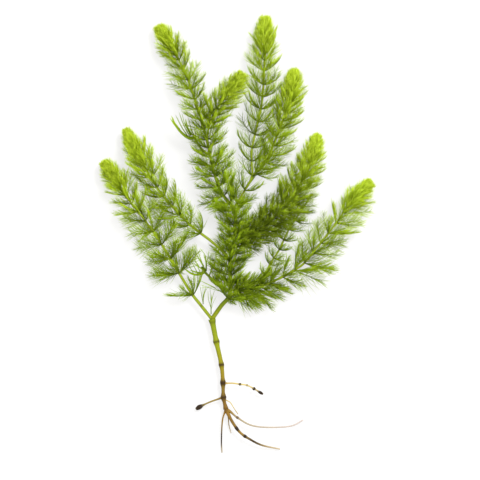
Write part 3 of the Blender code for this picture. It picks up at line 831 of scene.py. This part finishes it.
def strands(threads, lines, age, tone):
    """Single threads, each a thickness in millimetres and the places it goes through."""
    for thick, *trace in lines:
        route = Route(trace, (0.0, 0.0))
        places = np.array([route.at(share * route.length) for share in rib_share])
        radii = 0.5 * MM * thick * (1.0 - 0.5 * rib_share ** 3)
        own_tone = np.full(RIB_POINTS, tone + chance.normal(0, 0.1))
        numbers = [np.full(RIB_POINTS, age), 0.2 + 0.6 * rib_share, own_tone]
        threads.add(lowered(places)[None], radii[None], np.stack(numbers, axis=1)[None])


fork_threads = Threads()
strands(fork_threads, [
    (0.70, (203, 304, 5.6), (203.5, 296, 6.8), (206, 286, 7.4)),
    (0.42, (203, 303, 5.6), (201.5, 294, 6.6), (200, 285, 7.4)),
    (0.30, (203.5, 299, 6.0), (205, 292, 6.8), (209, 285, 7.2)),
    (0.30, (203, 298, 6.0), (203, 291, 6.8), (203, 284, 7.4)),
    (0.70, (211, 314, 6.0), (211, 303, 7.4), (212, 293, 8.2)),
    (0.42, (211, 308, 6.6), (208.5, 299, 7.6), (208, 290, 8.0)),
    (0.42, (211, 305, 6.8), (212.5, 297, 7.8), (215, 289, 8.0)),
    (0.30, (211, 301, 7.0), (210.5, 295, 7.6), (210, 287, 8.0)),
    (0.30, (211, 310, 6.4), (213, 303, 7.4), (216.5, 296, 7.8)),
], 0.0, 0.0)
strands(fork_threads, [
    (0.50, (228, 296, 6.0), (218, 290, 9.0), (204, 282, 10.4)),
    (0.34, (222, 292, 8.0), (213, 287, 9.6), (201, 281, 10.2)),
    (0.34, (219, 291, 8.6), (210, 288, 9.6), (199, 284, 10.0)),
    (0.34, (216, 288, 9.2), (208, 284, 10.0), (197, 279, 10.4)),
    (0.30, (214, 287, 9.6), (207, 287, 10.0), (200, 288, 10.0)),
], 0.15, 0.7)
for sideways, drop in ((-0.45, 0.0046), (-0.15, 0.0052), (0.15, 0.0054)):
    add_leaf(fork_threads, far_right.at(HANGING_PLACE), far_right.along(HANGING_PLACE),
             unit(np.array([sideways, -1.0, -0.2])), (drop, HANGING_AHEAD), HANGING_HABIT,
             closed=0.0, age=0.0, tone=-0.2, dense=2.2)
leaf_piece("fork_leaves", fork_threads, ["fork_leaf_left", "fork_leaf_middle", "fork_leaf_pale"])

short_threads = Threads()
strands(short_threads, [
    (2.10, (196, 139, 10.6), (189, 139, 11.4), (181, 133, 12.0), (174, 124, 12.6)),
    (1.30, (195, 139, 10.8), (190, 139.6, 10.8), (184, 137, 10.8)),
    (1.20, (188, 138.5, 11.2), (180, 132.5, 11.8), (173, 122, 12.2)),
    (1.10, (191, 136, 11.6), (186.5, 127, 13.6), (186, 119, 14.6)),
    (0.70, (194, 138, 11.0), (188.5, 129, 13.4), (187, 122, 14.4)),
    (0.60, (195, 138, 11.0), (190.5, 127, 13.6), (189, 118, 14.6)),
    (0.60, (196, 138, 11.0), (195, 131, 13.4), (194, 123, 14.6)),
], 0.0, -0.35)
strands(short_threads, [
    (0.90, (184, 136, 11.6), (177, 128, 12.2), (172, 119, 12.4)),
    (0.90, (181, 132, 11.8), (176, 125, 12.4), (170.5, 120, 12.6)),
    (0.80, (180, 130, 12.2), (175, 123.5, 12.8), (172.5, 117, 12.8)),
    (0.70, (179, 131, 12.2), (173.5, 124, 12.8), (170, 118, 12.6)),
    (0.60, (178, 129, 12.4), (174, 122, 12.8), (171, 115.5, 12.6)),
], 0.25, 0.35)
strands(short_threads, [
    (0.72, (188, 137, 11.6), (182, 128, 13.4), (175.5, 115, 14.2)),
    (0.66, (190, 137, 11.6), (184, 126, 13.6), (179, 112, 14.4)),
    (0.60, (191, 136, 11.6), (185, 125, 13.6), (182, 113, 14.4)),
], 0.0, -0.1)
leaf_piece("short_side_leaves", short_threads, ["short_side_leaf", "short_side_tuft"])

small_threads = Threads()
strands(small_threads, [
    (1.30, (215, 281.5, 7.2), (220, 281.5, 8.6), (225, 276, 9.6)),
    (1.60, (205.5, 272.5, 7.8), (198, 275, 8.6), (191, 273.5, 9.2), (184, 268, 9.6)),
    (1.20, (204, 273, 7.8), (197, 272.5, 8.8), (190, 270, 9.4)),
    (1.00, (209, 276, 8.0), (211, 270, 9.4), (213, 262, 10.0)),
    (1.10, (206, 271, 8.0), (206, 262, 9.6), (203.5, 254, 10.2)),
    (0.90, (206, 271, 8.0), (202, 264, 9.6), (197, 256, 10.2)),
    (0.90, (205, 271, 8.0), (199, 267, 9.4), (193, 263, 10.0)),
    (0.80, (210, 274, 8.0), (212, 268, 9.4), (216, 259, 10.2)),
], 0.0, 0.0)
strands(small_threads, [
    (0.56, (204, 266, 9.0), (199, 258, 9.8), (193, 250, 10.0)),
    (0.56, (203, 265, 9.0), (200, 257, 9.8), (198, 250, 10.0)),
    (0.56, (206, 263, 9.4), (208, 257, 9.8), (209, 250, 10.0)),
    (0.56, (206, 261, 9.4), (205, 255, 9.8), (200, 248, 10.0)),
    (0.56, (200, 268, 9.2), (196, 262, 9.8), (190, 256, 10.0)),
    (0.56, (211, 268, 9.2), (210, 261, 9.8), (212, 252, 10.0)),
    (0.56, (198, 274, 8.6), (194, 266, 9.6), (190, 260, 10.0)),
    (0.56, (194, 274, 9.0), (190, 267, 9.6), (187, 260, 10.0)),
    (0.56, (201, 274, 8.4), (198, 267, 9.6), (195, 259, 10.0)),
    (0.50, (216, 281, 8.0), (212, 274, 9.2), (211, 265, 9.8)),
    (0.50, (218, 281, 8.2), (215, 273, 9.4), (215, 264, 9.8)),
    (0.50, (220, 280, 8.8), (218, 273, 9.6), (219, 263, 10.0)),
    (0.50, (222, 279, 9.2), (221, 271, 9.8), (223, 263, 10.0)),
], 0.0, 0.4)
leaf_piece("small_side_foliage", small_threads, ["small_side_whorl", "small_side_leaves"])
